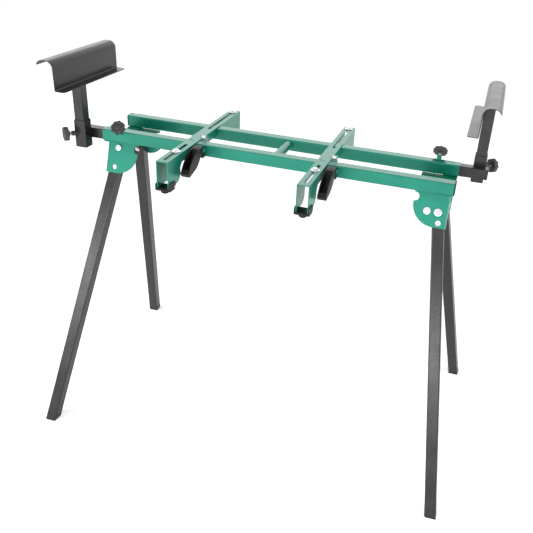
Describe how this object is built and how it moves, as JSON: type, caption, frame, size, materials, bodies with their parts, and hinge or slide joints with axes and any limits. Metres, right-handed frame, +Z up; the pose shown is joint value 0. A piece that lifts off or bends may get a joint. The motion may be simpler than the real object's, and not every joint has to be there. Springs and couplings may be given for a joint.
{
  "type": "miter saw stand",
  "caption": "Folding stand for a mitre saw: two parallel square rails on splayed folding legs, sliding saw brackets with clamp levers, and telescopic arms with height-adjustable work supports.",
  "frame": {"origin": "on the floor, at the centre of the footprint", "axes": "+X along the rails, to the right seen from the front; -Y the front, where the clamp levers are; +Z up"},
  "size_m": [1.2258, 0.73, 1.086],
  "materials": {
    "green_paint": "gloss",
    "black_paint": "satin",
    "black_plastic": "matte",
    "rubber": "matte",
    "zinc": "satin"
  },
  "bodies": {
    "frame": {"rail_front": "green_paint", "rail_rear": "green_paint", "rail_cap_front": "black_plastic", "rail_cap_rear": "black_plastic", "rail_boss_front": "green_paint", "rail_boss_rear": "green_paint", "cross_tube": "green_paint", "cross_plate_left": "green_paint", "cross_plate_right": "green_paint", "leg_channel_fl": "green_paint", "leg_bolt_fl": "zinc", "leg_channel_fr": "green_paint", "leg_bolt_fr": "zinc", "leg_channel_rr": "green_paint", "leg_bolt_rr": "zinc", "leg_channel_rl": "green_paint", "leg_bolt_rl": "zinc"},
    "leg_fl": {"leg_fl": "black_paint", "foot_fl": "rubber"},
    "lock_button_fl": {"lock_button_fl": "zinc"},
    "leg_fr": {"leg_fr": "black_paint", "foot_fr": "rubber"},
    "lock_button_fr": {"lock_button_fr": "zinc"},
    "leg_rr": {"leg_rr": "black_paint", "foot_rr": "rubber"},
    "lock_button_rr": {"lock_button_rr": "zinc"},
    "leg_rl": {"leg_rl": "black_paint", "foot_rl": "rubber"},
    "lock_button_rl": {"lock_button_rl": "zinc"},
    "arm_left": {"arm_bar_left": "black_paint", "arm_socket_left": "black_paint"},
    "post_left": {"post_left": "black_paint", "support_plate_left": "black_paint"},
    "rail_left_stud": {"rail_left_stud": "zinc"},
    "rail_left_knob": {"rail_left_knob": "black_plastic"},
    "socket_left_stud": {"socket_left_stud": "zinc"},
    "socket_left_knob": {"socket_left_knob": "black_plastic"},
    "arm_right": {"arm_bar_right": "black_paint", "arm_socket_right": "black_paint"},
    "post_right": {"post_right": "black_paint", "support_plate_right": "black_paint"},
    "rail_right_stud": {"rail_right_stud": "zinc"},
    "rail_right_knob": {"rail_right_knob": "black_plastic"},
    "socket_right_stud": {"socket_right_stud": "zinc"},
    "socket_right_knob": {"socket_right_knob": "black_plastic"},
    "bracket_left": {"saw_bracket_left": "green_paint", "bracket_pad_left_front": "black_plastic", "bracket_pad_left_rear": "black_plastic", "clamp_strap_left": "zinc"},
    "clamp_lever_left": {"clamp_lever_left": "black_plastic"},
    "saw_bolt_left_front": {"saw_bolt_left_front": "zinc"},
    "saw_bolt_left_rear": {"saw_bolt_left_rear": "zinc"},
    "bracket_right": {"saw_bracket_right": "green_paint", "bracket_pad_right_front": "black_plastic", "bracket_pad_right_rear": "black_plastic", "clamp_strap_right": "zinc"},
    "clamp_lever_right": {"clamp_lever_right": "black_plastic"},
    "saw_bolt_right_front": {"saw_bolt_right_front": "zinc"},
    "saw_bolt_right_rear": {"saw_bolt_right_rear": "zinc"}
  },
  "joints": [
    {"name": "leg_fold_front_left", "type": "hinge", "parent": "frame", "child": "leg_fl", "pos_m": [-0.45782, -0.05627, 0.81444], "axis": [0, -0.9414, 0.3372], "range_deg": [0, 99.07]},
    {"name": "lock_button_press_front_left", "type": "slide", "parent": "leg_fl", "child": "lock_button_fl", "axis": [0, 0.9414, -0.3372], "range_m": [0, 0.004], "stiffness_N_per_m": 300, "springref_m": -0.004},
    {"name": "leg_fold_front_right", "type": "hinge", "parent": "frame", "child": "leg_fr", "pos_m": [0.46682, -0.06726, 0.78375], "axis": [0, 0.9414, -0.3372], "range_deg": [0, 98.82]},
    {"name": "lock_button_press_front_right", "type": "slide", "parent": "leg_fr", "child": "lock_button_fr", "axis": [0, 0.9414, -0.3372], "range_m": [0, 0.004], "stiffness_N_per_m": 300, "springref_m": -0.004},
    {"name": "leg_fold_rear_right", "type": "hinge", "parent": "frame", "child": "leg_rr", "pos_m": [0.45782, 0.05627, 0.81444], "axis": [0, 0.9414, 0.3372], "range_deg": [0, 99.07]},
    {"name": "lock_button_press_rear_right", "type": "slide", "parent": "leg_rr", "child": "lock_button_rr", "axis": [0, -0.9414, -0.3372], "range_m": [0, 0.004], "stiffness_N_per_m": 300, "springref_m": -0.004},
    {"name": "leg_fold_rear_left", "type": "hinge", "parent": "frame", "child": "leg_rl", "pos_m": [-0.46682, 0.06726, 0.78375], "axis": [0, -0.9414, -0.3372], "range_deg": [0, 98.82]},
    {"name": "lock_button_press_rear_left", "type": "slide", "parent": "leg_rl", "child": "lock_button_rl", "axis": [0, -0.9414, -0.3372], "range_m": [0, 0.004], "stiffness_N_per_m": 300, "springref_m": -0.004},
    {"name": "arm_extend_left", "type": "slide", "parent": "frame", "child": "arm_left", "axis": [-1, 0, 0], "range_m": [-0.03, 0.65]},
    {"name": "support_height_left", "type": "slide", "parent": "arm_left", "child": "post_left", "axis": [0, 0, 1], "range_m": [-0.095, 0.03]},
    {"name": "rail_stud_travel_left", "type": "slide", "parent": "frame", "child": "rail_left_stud", "axis": [0, -0.7071, 0.7071], "range_m": [0, 0.0023]},
    {"name": "rail_knob_turn_left", "type": "hinge", "parent": "rail_left_stud", "child": "rail_left_knob", "pos_m": [-0.4365, -0.091, 0.875], "axis": [0, -0.7071, 0.7071], "range_deg": [0, 540]},
    {"name": "socket_stud_travel_left", "type": "slide", "parent": "arm_left", "child": "socket_left_stud", "axis": [-0.7071, -0.7071, 0], "range_m": [0, 0.0023]},
    {"name": "socket_knob_turn_left", "type": "hinge", "parent": "socket_left_stud", "child": "socket_left_knob", "pos_m": [-0.5655, -0.1233, 0.862], "axis": [-0.7071, -0.7071, 0], "range_deg": [0, 540]},
    {"name": "arm_extend_right", "type": "slide", "parent": "frame", "child": "arm_right", "axis": [1, 0, 0], "range_m": [-0.03, 0.65]},
    {"name": "support_height_right", "type": "slide", "parent": "arm_right", "child": "post_right", "axis": [0, 0, 1], "range_m": [-0.095, 0.03]},
    {"name": "rail_stud_travel_right", "type": "slide", "parent": "frame", "child": "rail_right_stud", "axis": [0, 0.7071, 0.7071], "range_m": [0, 0.0023]},
    {"name": "rail_knob_turn_right", "type": "hinge", "parent": "rail_right_stud", "child": "rail_right_knob", "pos_m": [0.4365, 0.091, 0.875], "axis": [0, 0.7071, 0.7071], "range_deg": [0, 540]},
    {"name": "socket_stud_travel_right", "type": "slide", "parent": "arm_right", "child": "socket_right_stud", "axis": [0.7071, 0.7071, 0], "range_m": [0, 0.0023]},
    {"name": "socket_knob_turn_right", "type": "hinge", "parent": "socket_right_stud", "child": "socket_right_knob", "pos_m": [0.5655, 0.1233, 0.862], "axis": [0.7071, 0.7071, 0], "range_deg": [0, 540]},
    {"name": "bracket_slide_left", "type": "slide", "parent": "frame", "child": "bracket_left", "axis": [1, 0, 0], "range_m": [-0.17, 0.18]},
    {"name": "clamp_lever_left", "type": "hinge", "parent": "bracket_left", "child": "clamp_lever_left", "pos_m": [-0.2275, -0.1045, 0.865], "axis": [-1, 0, 0], "range_deg": [0, 85]},
    {"name": "saw_bolt_slide_left_front", "type": "slide", "parent": "bracket_left", "child": "saw_bolt_left_front", "axis": [0, 1, 0], "range_m": [-0.065, 0.06]},
    {"name": "saw_bolt_slide_left_rear", "type": "slide", "parent": "bracket_left", "child": "saw_bolt_left_rear", "axis": [0, 1, 0], "range_m": [-0.12, 0.0072]},
    {"name": "bracket_slide_right", "type": "slide", "parent": "frame", "child": "bracket_right", "axis": [1, 0, 0], "range_m": [-0.1, 0.25]},
    {"name": "clamp_lever_right", "type": "hinge", "parent": "bracket_right", "child": "clamp_lever_right", "pos_m": [0.147, -0.1045, 0.865], "axis": [-1, 0, 0], "range_deg": [0, 85]},
    {"name": "saw_bolt_slide_right_front", "type": "slide", "parent": "bracket_right", "child": "saw_bolt_right_front", "axis": [0, 1, 0], "range_m": [-0.09, 0.035]},
    {"name": "saw_bolt_slide_right_rear", "type": "slide", "parent": "bracket_right", "child": "saw_bolt_right_rear", "axis": [0, 1, 0], "range_m": [-0.122, 0.0052]}
  ],
  "couplings": [
    {"joint": "rail_stud_travel_left", "follows": "rail_knob_turn_left", "m_per_rad": 0.00023873},
    {"joint": "socket_stud_travel_left", "follows": "socket_knob_turn_left", "m_per_rad": 0.00023873},
    {"joint": "rail_stud_travel_right", "follows": "rail_knob_turn_right", "m_per_rad": 0.00023873},
    {"joint": "socket_stud_travel_right", "follows": "socket_knob_turn_right", "m_per_rad": 0.00023873}
  ]
}
